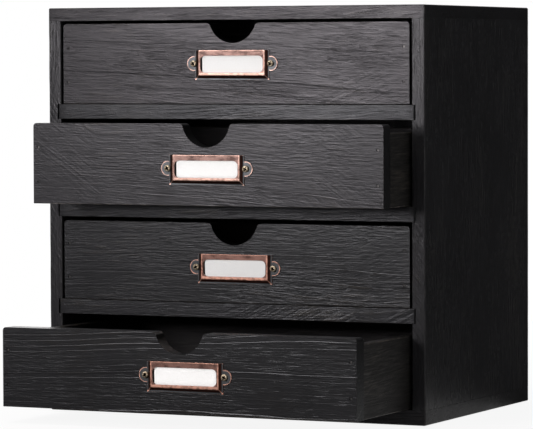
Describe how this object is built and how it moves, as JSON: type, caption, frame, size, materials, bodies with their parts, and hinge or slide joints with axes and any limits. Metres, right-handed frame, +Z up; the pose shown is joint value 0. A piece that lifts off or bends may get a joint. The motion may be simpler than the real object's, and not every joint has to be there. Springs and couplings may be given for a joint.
{
  "type": "desk organizer with drawers",
  "caption": "Black-stained wooden desktop organizer: a square cabinet with stacked sliding drawers, each with a finger notch and a copper label frame.",
  "frame": {"origin": "centre of the flat face that the cabinet stands on", "axes": "+X to the right seen from the front, +Y towards the back, +Z up; the drawer fronts face -Y"},
  "size_m": [0.25, 0.2511, 0.2472],
  "materials": {
    "stained_wood": "black stain on wire-brushed softwood, open grain, low sheen",
    "stained_plywood": "black stain on thin plywood, flat",
    "antique_copper": "antiqued copper plate, dark in the hollows and bright on the edges",
    "aged_brass": "aged brass plate",
    "brad_steel": "dull steel, darkened by the stain",
    "white_card": "plain white card, blank"
  },
  "bodies": {
    "cabinet": {"left_side_panel": "stained_wood", "right_side_panel": "stained_wood", "top_panel": "stained_wood", "bottom_panel": "stained_wood", "shelf_1": "stained_wood", "shelf_2": "stained_wood", "shelf_3": "stained_wood", "back_panel": "stained_plywood", "carcass_brads": "brad_steel", "back_panel_brads": "brad_steel"},
    "drawer_1": {"drawer_1_front": "stained_wood", "drawer_1_left_side": "stained_wood", "drawer_1_right_side": "stained_wood", "drawer_1_back": "stained_wood", "drawer_1_bottom": "stained_plywood", "drawer_1_brads": "brad_steel", "drawer_1_label_frame": "antique_copper", "drawer_1_label_screws": "aged_brass"},
    "label_card_1": {"drawer_1_label_card": "white_card"},
    "drawer_2": {"drawer_2_front": "stained_wood", "drawer_2_left_side": "stained_wood", "drawer_2_right_side": "stained_wood", "drawer_2_back": "stained_wood", "drawer_2_bottom": "stained_plywood", "drawer_2_brads": "brad_steel", "drawer_2_label_frame": "antique_copper", "drawer_2_label_screws": "aged_brass"},
    "label_card_2": {"drawer_2_label_card": "white_card"},
    "drawer_3": {"drawer_3_front": "stained_wood", "drawer_3_left_side": "stained_wood", "drawer_3_right_side": "stained_wood", "drawer_3_back": "stained_wood", "drawer_3_bottom": "stained_plywood", "drawer_3_brads": "brad_steel", "drawer_3_label_frame": "antique_copper", "drawer_3_label_screws": "aged_brass"},
    "label_card_3": {"drawer_3_label_card": "white_card"},
    "drawer_4": {"drawer_4_front": "stained_wood", "drawer_4_left_side": "stained_wood", "drawer_4_right_side": "stained_wood", "drawer_4_back": "stained_wood", "drawer_4_bottom": "stained_plywood", "drawer_4_brads": "brad_steel", "drawer_4_label_frame": "antique_copper", "drawer_4_label_screws": "aged_brass"},
    "label_card_4": {"drawer_4_label_card": "white_card"}
  },
  "joints": [
    {"name": "drawer_1_slide", "type": "slide", "parent": "cabinet", "child": "drawer_1", "axis": [0, -1, 0], "range_m": [0, 0.138]},
    {"name": "label_card_1_lift", "type": "slide", "parent": "drawer_1", "child": "label_card_1", "axis": [0, 0, 1], "range_m": [0, 0.012]},
    {"name": "drawer_2_slide", "type": "slide", "parent": "cabinet", "child": "drawer_2", "axis": [0, -1, 0], "range_m": [-0.0387, 0.0993]},
    {"name": "label_card_2_lift", "type": "slide", "parent": "drawer_2", "child": "label_card_2", "axis": [0, 0, 1], "range_m": [0, 0.012]},
    {"name": "drawer_3_slide", "type": "slide", "parent": "cabinet", "child": "drawer_3", "axis": [0, -1, 0], "range_m": [0, 0.138]},
    {"name": "label_card_3_lift", "type": "slide", "parent": "drawer_3", "child": "label_card_3", "axis": [0, 0, 1], "range_m": [0, 0.012]},
    {"name": "drawer_4_slide", "type": "slide", "parent": "cabinet", "child": "drawer_4", "axis": [0, -1, 0], "range_m": [-0.0777, 0.0603]},
    {"name": "label_card_4_lift", "type": "slide", "parent": "drawer_4", "child": "label_card_4", "axis": [0, 0, 1], "range_m": [0, 0.012]}
  ]
}
